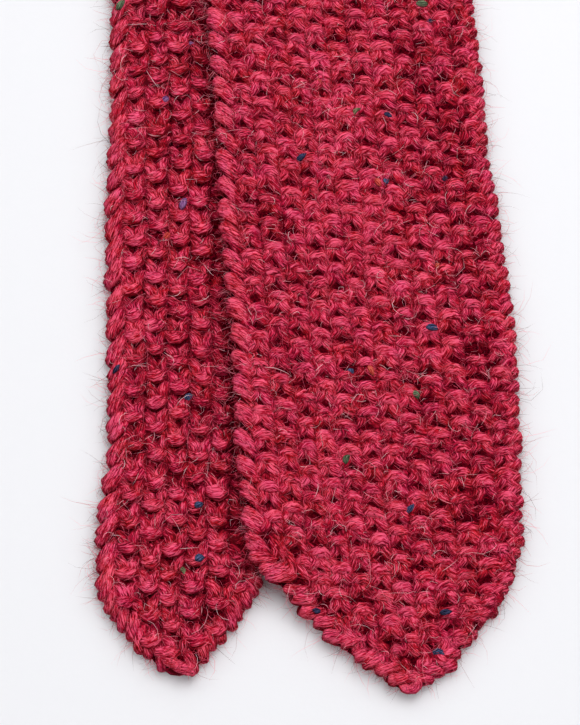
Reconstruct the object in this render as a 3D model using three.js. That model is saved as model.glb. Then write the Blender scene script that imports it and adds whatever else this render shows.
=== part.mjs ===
// A hand-knitted necktie: one continuous strip of seed stitch with a pointed end at each side,
// folded over once at the neckband and laid flat, the wide blade lying partly on the narrow tail.
// Millimetres, +Z up. The strip is knitted in one piece, so it is one solid.

import * as THREE from 'three';

// Driving sizes of the strip before it is folded
const BLADE_WIDTH = 64.5;
const NECK_WIDTH = 35;
const TAIL_WIDTH = 36.6;
const THICKNESS = 4.8;
const BLADE_HALF_LENGTH = 700; // blade apex to the middle of the fold
const TAIL_SHORTFALL = 5; // the tail's end lies this much nearer to the fold than the blade's apex
const BLADE_STRAIGHT_LENGTH = 300; // apex to where the blade starts to narrow
const BLADE_TAPER_LENGTH = 240; // over which the blade narrows to the neckband
const NECK_TO_TAIL_LENGTH = 420; // over which the neckband widens again to the tail

// Driving sizes of the two pointed ends
const BLADE_POINT_LENGTH = 33;
const TAIL_POINT_LENGTH = 22;
const BLADE_UNEVEN_LENGTH = 170; // apex to where the blade's edges stop wandering
const TAIL_UNEVEN_LENGTH = 166; // tail's end to where its edges stop wandering

// Driving sizes of how it lies
const SPREAD_ANGLE = THREE.MathUtils.degToRad(3.95); // between the two halves, seen from above
const LAYER_GAP = 0.3; // between the blade and the tail under it
const FOLD_INNER_RADIUS = 1.5; // of the soft turn at the neckband
const FOLD_SETTLE_LENGTH = 34; // over which the upper half comes down onto the lower one
const DRAPE_LENGTH = 16; // over which the blade comes down beside the tail to the surface

// How finely the solid is divided
const ACROSS_STEPS = 14;
const EDGE_STEPS = 3; // over each rounded long edge
const SETTLE_STEPS = 5;
const FOLD_STEPS = 14;
const UPPER_STEP = 9; // between sections of the upper half, along it
const LOWER_STEP = 20; // the lower half is flat and straight

// The two pointed ends, looked at on the face that lies upward, with the end towards the viewer.
// along: share of the point's length; left and right: shares of the half width from the middle line.
const BLADE_POINT_OUTLINE = [
  { along: 0, left: -0.03, right: 0.15 },
  { along: 0.1, left: 0.07, right: 0.26 },
  { along: 0.2, left: 0.2, right: 0.4 },
  { along: 0.33, left: 0.36, right: 0.53 },
  { along: 0.44, left: 0.47, right: 0.62 },
  { along: 0.56, left: 0.58, right: 0.74 },
  { along: 0.67, left: 0.66, right: 0.81 },
  { along: 0.78, left: 0.78, right: 0.86 },
  { along: 0.88, left: 0.89, right: 0.91 },
  { along: 1, left: 0.97, right: 0.95 },
];
const TAIL_POINT_OUTLINE = [
  { along: 0, left: 0.18, right: 0.18 },
  { along: 0.19, left: 0.34, right: 0.3 },
  { along: 0.34, left: 0.5, right: 0.46 },
  { along: 0.5, left: 0.67, right: 0.62 },
  { along: 0.65, left: 0.81, right: 0.74 },
  { along: 0.81, left: 0.94, right: 0.88 },
  { along: 1, left: 1.01, right: 1 },
];

// How the hand-knitted edges wander past the points.
// along: share of the uneven length; left and right: shares of the half width.
const BLADE_EDGES = [
  { along: 0.2, left: 0.97, right: 0.96 },
  { along: 0.25, left: 0.98, right: 0.98 },
  { along: 0.34, left: 0.99, right: 1.01 },
  { along: 0.42, left: 0.98, right: 1.035 },
  { along: 0.51, left: 0.975, right: 1.045 },
  { along: 0.6, left: 0.99, right: 1.025 },
  { along: 0.68, left: 0.995, right: 1.015 },
  { along: 0.73, left: 0.99, right: 0.985 },
  { along: 0.85, left: 0.98, right: 0.99 },
  { along: 1, left: 1, right: 0.98 },
];
const TAIL_EDGES = [
  { along: 0.14, left: 1.02, right: 1 },
  { along: 0.22, left: 1.03, right: 1 },
  { along: 0.32, left: 0.91, right: 1 },
  { along: 0.47, left: 0.95, right: 1 },
  { along: 0.68, left: 1.01, right: 1 },
  { along: 0.8, left: 0.97, right: 1 },
  { along: 1, left: 1, right: 1 },
];

const EDGE_RADIUS = THICKNESS / 2;
const FOLD_RADIUS = FOLD_INNER_RADIUS + THICKNESS / 2; // to the middle of the cloth
const FOLD_HALF_ARC = (Math.PI * FOLD_RADIUS) / 2;
const LAYER_RISE = THICKNESS + LAYER_GAP;
const TAIL_HALF_LENGTH = BLADE_HALF_LENGTH - TAIL_SHORTFALL;
const TOTAL_LENGTH = BLADE_HALF_LENGTH + TAIL_HALF_LENGTH;

function smoothStep(share) {
  const t = THREE.MathUtils.clamp(share, 0, 1);
  return t * t * (3 - 2 * t);
}

// Value of one column of a table at a given share along it
function readTable(rows, along, column) {
  if (along <= rows[0].along) {
    return rows[0][column];
  }
  for (let k = 1; k < rows.length; k += 1) {
    const [a, b] = [rows[k - 1], rows[k]];
    if (along <= b.along) {
      const t = (along - a.along) / (b.along - a.along);
      return THREE.MathUtils.lerp(a[column], b[column], t);
    }
  }
  return rows.at(-1)[column];
}

// Distance from the middle line to one edge, near one end of the strip
function endHalfWidth(fromEnd, side, width, pointLength, pointRows, unevenLength, edgeRows) {
  const share =
    fromEnd < pointLength
      ? readTable(pointRows, fromEnd / pointLength, side)
      : readTable(edgeRows, fromEnd / unevenLength, side);
  return (share * width) / 2;
}

// Distance from the middle line to the edge of the flat strip, at the distance s from the blade's apex
function halfWidth(s, side) {
  if (s < BLADE_HALF_LENGTH) {
    const narrowed = smoothStep((s - BLADE_STRAIGHT_LENGTH) / BLADE_TAPER_LENGTH);
    const width = THREE.MathUtils.lerp(BLADE_WIDTH, NECK_WIDTH, narrowed);
    const point = [BLADE_POINT_LENGTH, BLADE_POINT_OUTLINE];
    return endHalfWidth(s, side, width, ...point, BLADE_UNEVEN_LENGTH, BLADE_EDGES);
  }
  const fromEnd = TOTAL_LENGTH - s;
  const widened = smoothStep((s - BLADE_HALF_LENGTH) / NECK_TO_TAIL_LENGTH);
  const width = THREE.MathUtils.lerp(NECK_WIDTH, TAIL_WIDTH, widened);
  const point = [TAIL_POINT_LENGTH, TAIL_POINT_OUTLINE];
  return endHalfWidth(fromEnd, side, width, ...point, TAIL_UNEVEN_LENGTH, TAIL_EDGES);
}

// Seen from above, the crease leans by half the angle between the halves.
// The tail runs from the fold straight towards -Y, and the blade leans away from it.
const ALONG_CREASE = new THREE.Vector2(Math.cos(SPREAD_ANGLE / 2), Math.sin(SPREAD_ANGLE / 2));
const ACROSS_CREASE = new THREE.Vector2(-ALONG_CREASE.y, ALONG_CREASE.x);
const LOWER_MIDDLE = ACROSS_CREASE.clone().multiplyScalar(FOLD_HALF_ARC);
const TAIL_END_Y = LOWER_MIDDLE.y - TAIL_HALF_LENGTH;

// How far the point x, y lies outside the lower half's outline
function outsideTail(x, y) {
  const s = BLADE_HALF_LENGTH + LOWER_MIDDLE.y - Math.max(y, TAIL_END_Y);
  const sideways = x - LOWER_MIDDLE.x;
  const reach = halfWidth(Math.min(s, TOTAL_LENGTH), sideways < 0 ? 'left' : 'right');
  return Math.hypot(Math.max(Math.abs(sideways) - reach, 0), Math.max(TAIL_END_Y - y, 0));
}

// Middle of the cloth for the flat strip's point s, w (w is sideways), folded and laid
function clothMiddle(s, w) {
  const fromFold = s - BLADE_HALF_LENGTH;
  const p = -fromFold * ALONG_CREASE.y + w * ALONG_CREASE.x;
  const q = fromFold * ALONG_CREASE.x + w * ALONG_CREASE.y;
  const upper = q <= -FOLD_HALF_ARC;
  const turning = Math.abs(q) < FOLD_HALF_ARC;
  const beyond = turning ? FOLD_RADIUS * Math.cos(q / FOLD_RADIUS) : FOLD_HALF_ARC - Math.abs(q);
  const x = p * ALONG_CREASE.x + beyond * ACROSS_CREASE.x;
  const y = p * ALONG_CREASE.y + beyond * ACROSS_CREASE.y;
  let z = 0;
  if (upper) {
    const bulge = (2 * FOLD_RADIUS - LAYER_RISE) * (1 - smoothStep(-beyond / FOLD_SETTLE_LENGTH));
    z = LAYER_RISE * (1 - smoothStep(outsideTail(x, y) / DRAPE_LENGTH)) + bulge;
  } else if (turning) {
    z = FOLD_RADIUS * (1 - Math.sin(q / FOLD_RADIUS));
  }
  return new THREE.Vector3(x, y, THICKNESS / 2 + z);
}

// Direction of the knitted face that lies upward on the blade, at the same point
const PROBE = 0.05;
function clothNormal(s, w) {
  const alongStrip = clothMiddle(s + PROBE, w).sub(clothMiddle(s - PROBE, w));
  const acrossStrip = clothMiddle(s, w + PROBE).sub(clothMiddle(s, w - PROBE));
  return acrossStrip.cross(alongStrip).normalize();
}

// Sideways place and lift off the cloth's middle for each point round a section, from its left edge
function sectionProfile(left, right, fullness) {
  const edge = Math.min(EDGE_RADIUS, (left + right) * 0.4);
  const rim = [];
  for (let k = 1; k <= EDGE_STEPS; k += 1) {
    const turn = (Math.PI / 2) * (k / EDGE_STEPS);
    rim.push({ inset: edge * (1 - Math.cos(turn)), up: Math.sin(turn) });
  }
  const top = rim.map(({ inset, up }) => ({ w: inset - left, up }));
  for (let k = 1; k < ACROSS_STEPS; k += 1) {
    top.push({ w: THREE.MathUtils.lerp(edge - left, right - edge, k / ACROSS_STEPS), up: 1 });
  }
  top.push(...rim.reverse().map(({ inset, up }) => ({ w: right - inset, up })));
  const bottom = top.map(({ w, up }) => ({ w, up: -up })).reverse();
  const around = [{ w: -left, up: 0 }, ...top, { w: right, up: 0 }, ...bottom];
  return around.map(({ w, up }) => ({ w, lift: up * fullness * EDGE_RADIUS }));
}

// Distances from the blade's apex at which the strip has a section, with its fullness of thickness there
function sectionPlaces() {
  const rounding = [0.1, 0.45, 1].map((share) => ({
    inset: EDGE_RADIUS * share,
    fullness: Math.sqrt(1 - (1 - share) ** 2),
  }));
  const places = [];
  const addRun = (from, to, count) => {
    for (let k = 0; k < count; k += 1) {
      places.push({ s: THREE.MathUtils.lerp(from, to, k / count), fullness: 1 });
    }
  };
  const addPoint = (rows, length, place) => {
    for (const { inset, fullness } of rounding) {
      places.push({ s: place(inset), fullness });
    }
    const beyondRounding = rows.map(({ along }) => along * length).filter((inset) => inset > EDGE_RADIUS * 1.2);
    for (const inset of beyondRounding) {
      places.push({ s: place(inset), fullness: 1 });
    }
  };
  // Sections are cut square to the strip, so they reach past the leaning crease on both sides
  const creaseReach = (NECK_WIDTH / 2) * Math.tan(SPREAD_ANGLE / 2) + FOLD_HALF_ARC;
  const foldStart = BLADE_HALF_LENGTH - creaseReach;
  const foldEnd = BLADE_HALF_LENGTH + creaseReach;
  const settleStart = foldStart - FOLD_SETTLE_LENGTH;
  const tailPointStart = TOTAL_LENGTH - TAIL_POINT_LENGTH;
  addPoint(BLADE_POINT_OUTLINE, BLADE_POINT_LENGTH, (inset) => inset);
  const upperStart = BLADE_POINT_LENGTH + UPPER_STEP / 2;
  addRun(upperStart, settleStart, Math.ceil((settleStart - upperStart) / UPPER_STEP));
  addRun(settleStart, foldStart, SETTLE_STEPS);
  addRun(foldStart, foldEnd, FOLD_STEPS);
  addRun(foldEnd, tailPointStart, Math.ceil((tailPointStart - foldEnd) / LOWER_STEP));
  addPoint(TAIL_POINT_OUTLINE, TAIL_POINT_LENGTH, (inset) => TOTAL_LENGTH - inset);
  return places.sort((a, b) => a.s - b.s);
}

function sectionPoints({ s, fullness }) {
  const profile = sectionProfile(halfWidth(s, 'left'), halfWidth(s, 'right'), fullness);
  return profile.map(({ w, lift }) => clothMiddle(s, w).addScaledVector(clothNormal(s, w), lift));
}

// One closed skin through all the sections, with a flat cap at each end
function loft(sections) {
  const around = sections[0].length;
  const index = [];
  for (let i = 0; i + 1 < sections.length; i += 1) {
    for (let k = 0; k < around; k += 1) {
      const a = i * around + k;
      const b = i * around + ((k + 1) % around);
      index.push(a, b, b + around, a, b + around, a + around);
    }
  }
  // Each cap joins a top point to the bottom point across from it
  const last = (sections.length - 1) * around;
  for (let k = 0; k < around / 2; k += 1) {
    const [a, b] = [k, k + 1];
    const [c, d] = [(around - a) % around, around - b];
    if (a !== c) {
      index.push(a, c, b, last + a, last + b, last + c);
    }
    if (b !== d) {
      index.push(b, c, d, last + b, last + d, last + c);
    }
  }
  const geometry = new THREE.BufferGeometry();
  const positions = sections.flat().flatMap((point) => point.toArray());
  geometry.setAttribute('position', new THREE.Float32BufferAttribute(positions, 3));
  geometry.setIndex(index);
  geometry.computeVertexNormals();
  return geometry;
}

const wool = new THREE.MeshStandardMaterial({ color: 0xa51f3a, roughness: 0.95, metalness: 0 });
const strip = new THREE.Mesh(loft(sectionPlaces().map(sectionPoints)), wool);
strip.name = 'knitted_strip';

// The origin is under the middle of the tie as it lies
strip.geometry.computeBoundingBox();
const { min, max } = strip.geometry.boundingBox;
strip.position.set(-(min.x + max.x) / 2, -(min.y + max.y) / 2, -min.z);

const tie = new THREE.Group();
tie.add(strip);

export default tie;
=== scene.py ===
import math

import bpy
import numpy as np
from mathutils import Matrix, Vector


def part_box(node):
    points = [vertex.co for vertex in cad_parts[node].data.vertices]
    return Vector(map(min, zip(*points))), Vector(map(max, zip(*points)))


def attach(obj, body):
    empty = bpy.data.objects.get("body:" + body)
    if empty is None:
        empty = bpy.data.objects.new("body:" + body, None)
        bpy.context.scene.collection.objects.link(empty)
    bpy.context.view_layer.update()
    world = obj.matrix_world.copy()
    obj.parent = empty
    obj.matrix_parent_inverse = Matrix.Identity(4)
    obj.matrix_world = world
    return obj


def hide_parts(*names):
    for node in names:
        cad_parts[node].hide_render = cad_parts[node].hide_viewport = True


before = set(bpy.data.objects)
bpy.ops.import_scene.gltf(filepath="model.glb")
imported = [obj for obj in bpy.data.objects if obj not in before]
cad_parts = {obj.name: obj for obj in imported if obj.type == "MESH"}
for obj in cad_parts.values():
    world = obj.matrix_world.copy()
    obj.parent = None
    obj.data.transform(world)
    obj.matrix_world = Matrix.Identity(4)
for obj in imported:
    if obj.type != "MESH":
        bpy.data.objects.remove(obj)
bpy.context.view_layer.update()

# The tie as it is cut and laid, in millimetres, as in the solid model
NODE = "knitted_strip"
BLADE_WIDTH = 64.5
NECK_WIDTH = 35.0
TAIL_WIDTH = 36.6
THICKNESS = 4.8
BLADE_HALF = 700.0
TAIL_SHORTFALL = 5.0
BLADE_STRAIGHT = 300.0
BLADE_TAPER = 240.0
NECK_TO_TAIL = 420.0
BLADE_POINT = 33.0
TAIL_POINT = 22.0
BLADE_UNEVEN = 170.0
TAIL_UNEVEN = 166.0
SPREAD = math.radians(3.95)
LAYER_GAP = 0.3
FOLD_INNER_RADIUS = 1.5
FOLD_SETTLE = 34.0
DRAPE = 16.0

TAIL_HALF = BLADE_HALF - TAIL_SHORTFALL
TOTAL = BLADE_HALF + TAIL_HALF
FOLD_RADIUS = FOLD_INNER_RADIUS + THICKNESS / 2
FOLD_HALF_ARC = math.pi * FOLD_RADIUS / 2
LAYER_RISE = THICKNESS + LAYER_GAP

# Columns: share along, left, right
BLADE_POINT_ROWS = np.array([
    (0, -0.03, 0.15), (0.1, 0.07, 0.26), (0.2, 0.2, 0.4), (0.33, 0.36, 0.53), (0.44, 0.47, 0.62),
    (0.56, 0.58, 0.74), (0.67, 0.66, 0.81), (0.78, 0.78, 0.86), (0.88, 0.89, 0.91), (1, 0.97, 0.95)])
TAIL_POINT_ROWS = np.array([
    (0, 0.18, 0.18), (0.19, 0.34, 0.3), (0.34, 0.5, 0.46), (0.5, 0.67, 0.62), (0.65, 0.81, 0.74),
    (0.81, 0.94, 0.88), (1, 1.01, 1)])
BLADE_EDGE_ROWS = np.array([
    (0.2, 0.97, 0.96), (0.25, 0.98, 0.98), (0.34, 0.99, 1.01), (0.42, 0.98, 1.035), (0.51, 0.975, 1.045),
    (0.6, 0.99, 1.025), (0.68, 0.995, 1.015), (0.73, 0.99, 0.985), (0.85, 0.98, 0.99), (1, 1, 0.98)])
TAIL_EDGE_ROWS = np.array([
    (0.14, 1.02, 1), (0.22, 1.03, 1), (0.32, 0.91, 1), (0.47, 0.95, 1), (0.68, 1.01, 1), (0.8, 0.97, 1),
    (1, 1, 1)])


def smooth_step(t):
    t = np.clip(t, 0.0, 1.0)
    return t * t * (3.0 - 2.0 * t)


def full_width(s):
    """Width of the flat strip at s without its points."""
    blade = BLADE_WIDTH + (NECK_WIDTH - BLADE_WIDTH) * smooth_step((s - BLADE_STRAIGHT) / BLADE_TAPER)
    tail = NECK_WIDTH + (TAIL_WIDTH - NECK_WIDTH) * smooth_step((s - BLADE_HALF) / NECK_TO_TAIL)
    return np.where(s < BLADE_HALF, blade, tail)


def edge_share(s, side):
    """How far the hand-knitted edge wanders, as a share of the half width. side is -1 left, 1 right."""
    col = 1 if side < 0 else 2
    blade = np.interp(s / BLADE_UNEVEN, BLADE_EDGE_ROWS[:, 0], BLADE_EDGE_ROWS[:, col])
    tail = np.interp((TOTAL - s) / TAIL_UNEVEN, TAIL_EDGE_ROWS[:, 0], TAIL_EDGE_ROWS[:, col])
    return np.where(s < BLADE_HALF, blade, tail)


def half_width(s, side):
    """Distance from the middle line to the edge of the flat strip at s from the blade's apex."""
    s = np.asarray(s, float)
    col = 1 if side < 0 else 2
    blade = np.interp(s / BLADE_POINT, BLADE_POINT_ROWS[:, 0], BLADE_POINT_ROWS[:, col])
    tail = np.interp((TOTAL - s) / TAIL_POINT, TAIL_POINT_ROWS[:, 0], TAIL_POINT_ROWS[:, col])
    share = edge_share(s, side)
    share = np.where(s < BLADE_POINT, blade, share)
    share = np.where(TOTAL - s < TAIL_POINT, tail, share)
    return share * full_width(s) / 2


ALONG_CREASE = np.array((math.cos(SPREAD / 2), math.sin(SPREAD / 2)))
ACROSS_CREASE = np.array((-ALONG_CREASE[1], ALONG_CREASE[0]))
LOWER_MIDDLE = ACROSS_CREASE * FOLD_HALF_ARC
TAIL_END_Y = LOWER_MIDDLE[1] - TAIL_HALF


def outside_tail(x, y):
    """Distance of a place on the surface from the tail half that lies there."""
    s = BLADE_HALF + LOWER_MIDDLE[1] - np.maximum(y, TAIL_END_Y)
    s = np.minimum(s, TOTAL)
    off = x - LOWER_MIDDLE[0]
    reach = np.where(off < 0, half_width(s, -1), half_width(s, 1))
    return np.hypot(np.maximum(np.abs(off) - reach, 0), np.maximum(TAIL_END_Y - y, 0))


def cloth_middle(s, w):
    """Middle of the cloth for the flat strip's points s, w, folded and laid."""
    f = s - BLADE_HALF
    p = -f * ALONG_CREASE[1] + w * ALONG_CREASE[0]
    q = f * ALONG_CREASE[0] + w * ALONG_CREASE[1]
    turning = np.abs(q) < FOLD_HALF_ARC
    beyond = np.where(turning, FOLD_RADIUS * np.cos(q / FOLD_RADIUS), FOLD_HALF_ARC - np.abs(q))
    x = p * ALONG_CREASE[0] + beyond * ACROSS_CREASE[0]
    y = p * ALONG_CREASE[1] + beyond * ACROSS_CREASE[1]
    bulge = (2 * FOLD_RADIUS - LAYER_RISE) * (1 - smooth_step(-beyond / FOLD_SETTLE))
    laid_over = LAYER_RISE * (1 - smooth_step(outside_tail(x, y) / DRAPE)) + bulge
    turned = FOLD_RADIUS * (1 - np.sin(q / FOLD_RADIUS))
    z = np.where(turning, turned, np.where(q < 0, laid_over, 0.0))
    return np.stack((x, y, THICKNESS / 2 + z), -1)


def cloth_normal(s, w, probe=0.05):
    along = cloth_middle(s + probe, w) - cloth_middle(s - probe, w)
    across = cloth_middle(s, w + probe) - cloth_middle(s, w - probe)
    n = np.cross(across, along)
    return n / np.linalg.norm(n, axis=-1, keepdims=True)


def model_shift():
    """From the fold's frame to the solid model's, whose origin is under the middle of the laid tie."""
    s = np.arange(0.5, TOTAL, 0.5)
    skin = []
    for side in (-1, 1):
        w = side * half_width(s, side)
        middle, normal = cloth_middle(s, w), cloth_normal(s, w)
        skin += [middle, middle + normal * THICKNESS * 0.495, middle - normal * THICKNESS * 0.495]
    skin = np.concatenate(skin)
    low, high = (np.array(corner) * 1000 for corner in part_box(NODE))
    shift = (low + high) / 2 - (skin.min(0) + skin.max(0)) / 2
    shift[2] = 0.0
    return shift


SHIFT = model_shift()
LOWEST = 0.02


def laid(s, w, z):
    """Points of the flat strip at s, w and height z over the cloth's middle, laid down, in millimetres."""
    p = cloth_middle(s, w) + cloth_normal(s, w) * np.asarray(z)[..., None] + SHIFT
    p[..., 2] = np.maximum(p[..., 2], LOWEST)
    return p


# Stitches, in seed stitch: knit and purl by turns, across and along
ROW = 3.1
BLADE_COLUMNS = 12
TAIL_COLUMNS = 6
ROW_SHEAR = math.tan(math.radians(8.5))
SHEAR_STARTS_AT, SHEAR_STARTS_OVER = -6.0, 40.0
SHEAR_ENDS_AT, SHEAR_ENDS_OVER = 520.0, 100.0
FIRST_COURSE = 1.2
COURSES = int(TOTAL / ROW - FIRST_COURSE)
YARN_RADIUS = 1.5
YARN_FLATNESS = 0.78
LEFT_EDGE_BAND = 4.0
RIGHT_EDGE_BAND = 1.8
POINT_EDGE_BAND = 1.2
COLUMNS_MIDDLE = (LEFT_EDGE_BAND - RIGHT_EDGE_BAND) / 2
LEAST_COLUMN = 0.5
LEAST_COURSE = 0.6
LOOP_REACH = 1.0
BLADE_POINT_EASE = 6.0
TAIL_POINT_EASE = 4.0
POINT_SETTLE = 8.0

# How much single stitches differ: in width, sideways, along, in slant and in height
UNEVEN_WIDTH = 0.06
UNEVEN_ACROSS = 0.2
UNEVEN_ALONG = 0.24
UNEVEN_SLANT = 0.55
UNEVEN_HEIGHT = 0.1

# Half a loop, from the side of its stitch to the top of its head, for a knit stitch.
# Columns: across as a share of the stitch, along in rows, height in millimetres
BLADE_LOOP = np.array([
    (-0.50, -1.10, 0.00),
    (-0.38, -1.00, -0.66),
    (-0.22, -0.70, -0.88),
    (-0.18, -0.20, -0.40),
    (-0.30, 0.30, -0.42),
    (-0.42, 0.75, 0.38),
    (-0.25, 0.96, 1.12),
    (0.00, 1.00, 1.32),
])
TAIL_LOOP = np.array([
    (-0.50, -1.38, 0.00),
    (-0.38, -1.20, -0.80),
    (-0.21, -0.70, -1.10),
    (-0.17, -0.16, -0.32),
    (-0.28, 0.32, -0.20),
    (-0.37, 0.72, 0.60),
    (-0.22, 0.97, 1.20),
    (0.00, 1.03, 1.32),
])
# The yarn's thickness along the loop: in the middle and how far it swings, for the blade and the tail
BLADE_GIRTH = (0.94, 0.10)
TAIL_GIRTH = (0.95, 0.26)

rng = np.random.RandomState(7)


def spline(points, count):
    """count samples along a Catmull-Rom curve through points, whose first and last only steer it."""
    t = np.linspace(0, len(points) - 3, count, endpoint=False)
    i = np.floor(t).astype(int)
    f = (t - i)[:, None]
    a, b, c, d = points[i], points[i + 1], points[i + 2], points[i + 3]
    square = (2 * a - 5 * b + 4 * c - d) * f ** 2
    cube = (3 * b - a - 3 * c + d) * f ** 3
    return 0.5 * (2 * b + (c - a) * f + square + cube)


def loop_samples(per_stitch, s):
    """A whole loop. The neighbours on both sides are purl stitches, so their feet have the other height."""
    half = BLADE_LOOP + (TAIL_LOOP - BLADE_LOOP) * float(smooth_step((s - BLADE_HALF) / FOLD_SETTLE))
    other_half = half[::-1][1:] * (-1, 1, 1)
    whole = np.vstack((half, other_half))
    before = (whole[-2] - (1, 0, 0)) * (1, 1, -1)
    after = (whole[1] + (1, 0, 0)) * (1, 1, -1)
    return spline(np.vstack((before, whole, after)), per_stitch)


WAVES = 10
WAVE_NUMBER = 2.2
WAVE_SHARE = 0.45


def wander(seed, size, length):
    """A smooth random function of s and w with about the given size and wavelength."""
    r = np.random.RandomState(seed)
    waves = r.normal(size=(WAVES, 2)) / length * WAVE_NUMBER
    phases = r.uniform(0, 2 * math.pi, WAVES)

    def at(s, w):
        return size * WAVE_SHARE * sum(np.sin(k[0] * s + k[1] * w + ph) for k, ph in zip(waves, phases))
    return at


drift_across = wander(seed=1, size=0.55, length=13.0)
drift_along = wander(seed=2, size=0.5, length=13.0)
drift_height = wander(seed=3, size=0.2, length=9.0)
thick_and_thin = wander(seed=4, size=0.09, length=8.0)


def stitch_width(s):
    bands = LEFT_EDGE_BAND + RIGHT_EDGE_BAND
    blade = (BLADE_WIDTH - bands) / BLADE_COLUMNS
    neck = (NECK_WIDTH - bands) / TAIL_COLUMNS
    tail = (TAIL_WIDTH - bands) / TAIL_COLUMNS
    narrowing = smooth_step((s - BLADE_STRAIGHT) / BLADE_TAPER)
    widening = smooth_step((s - BLADE_HALF) / NECK_TO_TAIL)
    on_blade = blade + (neck - blade) * narrowing
    on_tail = neck + (tail - neck) * widening
    return float(np.where(s < BLADE_HALF, on_blade, on_tail))


def past_points(s):
    """1 between the straight edges, down to 0 between the slanting edges of both points."""
    past_blade_point = smooth_step((s - BLADE_POINT + BLADE_POINT_EASE) / POINT_SETTLE)
    return past_blade_point * smooth_step((TOTAL - s - TAIL_POINT + TAIL_POINT_EASE) / POINT_SETTLE)


def cell_edges(s):
    """Sideways places of the stitches' cells in the course at s, and the number of the first cell."""
    straight = float(past_points(s))
    reach = np.clip(s + ROW * LOOP_REACH * np.array((-1, 0, 1)), 0, TOTAL)
    left_edge, right_edge = float(half_width(reach, -1).min()), float(half_width(reach, 1).min())
    low = -left_edge + POINT_EDGE_BAND + (LEFT_EDGE_BAND - POINT_EDGE_BAND) * straight
    high = right_edge - POINT_EDGE_BAND - (RIGHT_EDGE_BAND - POINT_EDGE_BAND) * straight
    pitch = stitch_width(s)
    left, right = pitch * float(edge_share(s, -1)), pitch * float(edge_share(s, 1))
    first = math.ceil((low - COLUMNS_MIDDLE) / left + LEAST_COLUMN)
    last = math.floor((high - COLUMNS_MIDDLE) / right - LEAST_COLUMN)
    if high - low < pitch * LEAST_COURSE:
        return None, first
    lines = np.arange(first, last + 1)
    inner = COLUMNS_MIDDLE + lines * np.where(lines < 0, left, right)
    return np.concatenate(((low,), inner, (high,))), first - 1


BLADE_EDGE_PLACES = np.arange(0.0, BLADE_HALF - FOLD_SETTLE, 2.0)
BLADE_LEFT_EDGE = (BLADE_EDGE_PLACES, -half_width(BLADE_EDGE_PLACES, -1))
SINK_REACH = 5.0
SINK = 1.0
DRIFT_REACH = 1.25


def under_blade(s, w):
    """1 where the tail lies under the blade, falling to 0 just beside the blade's left edge."""
    edge = cloth_middle(*BLADE_LEFT_EDGE)
    place = cloth_middle(s, w)
    beside = np.interp(place[..., 1], edge[:, 1], edge[:, 0]) - place[..., 0]
    return np.where(s > BLADE_HALF + FOLD_SETTLE, smooth_step(1 - beside / SINK_REACH), 0.0)


def course_path(n, per_stitch):
    """Places s, w, z along course n's yarn on the flat strip, and how thick it is there."""
    s0 = (n + FIRST_COURSE) * ROW
    edges, first = cell_edges(s0)
    if edges is None:
        return None, None
    u, v, z = loop_samples(per_stitch, s0).T
    middle_part = np.cos(math.pi * u) ** 2
    parts = []
    for k in range(len(edges) - 1):
        knit = 1 if (first + k + n) % 2 == 0 else -1
        middle, wide = (edges[k] + edges[k + 1]) / 2, edges[k + 1] - edges[k]
        bigger, aside, onward, higher, tilt = rng.normal(size=5)
        across = middle + wide * u * (1 + UNEVEN_WIDTH * bigger * middle_part)
        across = across + UNEVEN_ACROSS * aside * middle_part
        along = s0 + v * ROW + (UNEVEN_ALONG * onward + UNEVEN_SLANT * tilt * u) * middle_part
        height = knit * z * (1 + UNEVEN_HEIGHT * higher * middle_part)
        parts.append(np.stack((along, across, height), -1))
    path = np.concatenate(parts)
    s, w = path[:, 0].copy(), path[:, 1].copy()
    if s0 < BLADE_HALF:
        fading = 1 - smooth_step((s - SHEAR_ENDS_AT) / SHEAR_ENDS_OVER)
        path[:, 0] -= w * ROW_SHEAR * fading * smooth_step((s - SHEAR_STARTS_AT) / SHEAR_STARTS_OVER)
    inside = np.clip(DRIFT_REACH - np.abs(w) / half_width(s0, 1), 0, 1)
    path[:, 0] += drift_along(s, w)
    path[:, 1] += drift_across(s, w) * inside
    path[:, 2] += drift_height(s, w) + SINK * under_blade(s, w)
    middle, swing = BLADE_GIRTH if s0 < BLADE_HALF else TAIL_GIRTH
    girth = middle + swing * np.cos(2 * math.pi * u)
    return path, np.tile(girth, len(edges) - 1)


# Meshes
def mesh_object(name, points, corners, sizes, uv, material, **fields):
    """An object from flat arrays. points are in millimetres, fields are values for each point."""
    mesh = bpy.data.meshes.new(name)
    mesh.vertices.add(len(points))
    mesh.vertices.foreach_set("co", (points / 1000).reshape(-1).astype(np.float32))
    mesh.loops.add(len(corners))
    mesh.loops.foreach_set("vertex_index", corners.astype(np.int32))
    mesh.polygons.add(len(sizes))
    starts = np.concatenate(((0,), np.cumsum(sizes)[:-1]))
    mesh.polygons.foreach_set("loop_start", starts.astype(np.int32))
    mesh.update(calc_edges=True)
    mesh.polygons.foreach_set("use_smooth", np.ones(len(sizes), bool))
    layer = mesh.uv_layers.new(name="OFBake")
    layer.data.foreach_set("uv", uv.reshape(-1).astype(np.float32))
    for field, values in fields.items():
        kind, value = ("FLOAT", "value") if values.ndim == 1 else ("FLOAT_VECTOR", "vector")
        data = mesh.attributes.new(field, kind, "POINT").data
        data.foreach_set(value, values.reshape(-1).astype(np.float32))
    mesh.materials.append(material)
    piece = bpy.data.objects.new(name, mesh)
    bpy.context.scene.collection.objects.link(piece)
    return piece


LUMPINESS = 0.05
YARN_TWIST = 0.3

# The bake maps: how much of its cell each face fills, and where the cells of the tubes' ends begin
STEP_FILL = 0.96
TUBE_MARGIN, TUBE_FILL, SIDE_FILL = 0.03, 0.9, 0.88
BODY_SHARE, ENDS_FROM = 0.99, 0.9905
END_SIZE = (0.01, 0.02)


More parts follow.
